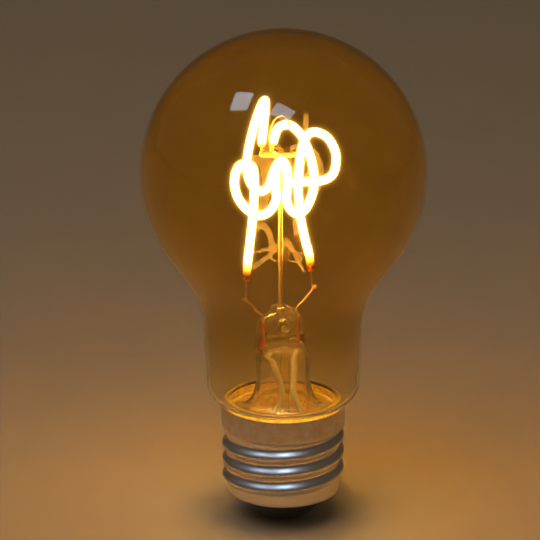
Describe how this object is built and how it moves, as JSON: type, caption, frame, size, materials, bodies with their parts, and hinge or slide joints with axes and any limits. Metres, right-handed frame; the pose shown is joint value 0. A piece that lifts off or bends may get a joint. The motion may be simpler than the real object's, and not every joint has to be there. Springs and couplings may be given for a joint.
{
  "type": "led filament bulb",
  "caption": "Amber glass globe lamp on an Edison screw cap, with two bent flexible glowing filaments on a glass stem and a driver in the cap.",
  "frame": {"origin": "centre of the flat tip of the solder on the centre contact, the lamp's lowest point", "axes": "+Z along the lamp's axis from the cap to the dome, -Y towards the picture's camera, +X to the picture's right"},
  "size_m": [0.06, 0.06, 0.1068],
  "materials": {
    "amber_glass": "clear amber-tinted glass, smooth, with a few specks",
    "stem_glass": "clear glass, flame worked",
    "rod_metal": "drawn wire, dull",
    "gilt_wire": "drawn wire, warm",
    "filament_coat": "soft silicone coat over a flexible strip, glowing",
    "seal_copper": "copper-clad wire, oxide red",
    "lead_copper": "bare copper wire",
    "sleeve": "white translucent insulating sleeve",
    "cap_metal": "nickel-plated pressed brass sheet",
    "cement": "baked basing cement, mottled",
    "black_glass": "black moulded glass",
    "contact_brass": "pressed brass plate",
    "solder": "tin solder, satin",
    "board": "golden resin coat on glass laminate, mottled",
    "chip_resin": "moulded resin",
    "capacitor_can": "can in a golden sleeve",
    "fuse_coat": "flameproof lacquer"
  },
  "bodies": {
    "root": {"glass_envelope": "amber_glass", "glass_stem": "stem_glass", "exhaust_tube": "stem_glass", "centre_rod": "rod_metal", "cross_arm": "gilt_wire", "diagonal_arm": "gilt_wire", "support_hook": "rod_metal", "filament_front": "filament_coat", "filament_back": "filament_coat", "front_end_pins": "gilt_wire", "back_end_pins": "gilt_wire", "inner_lead_left": "gilt_wire", "inner_lead_right": "gilt_wire", "seal_wire_left": "seal_copper", "seal_wire_right": "seal_copper", "outer_lead_left": "lead_copper", "outer_lead_right": "lead_copper", "lead_sleeve_left": "sleeve", "lead_sleeve_right": "sleeve", "cap_shell": "cap_metal", "cap_cement": "cement", "cap_insulator": "black_glass", "centre_contact": "contact_brass", "contact_solder": "solder", "driver_board": "board", "bridge_rectifier": "chip_resin", "driver_chip": "chip_resin", "smoothing_capacitor": "capacitor_can", "fuse_resistor": "fuse_coat", "fuse_leads": "solder", "chip_resistors": "chip_resin", "shell_wire": "lead_copper", "board_solder": "solder"}
  },
  "joints": []
}
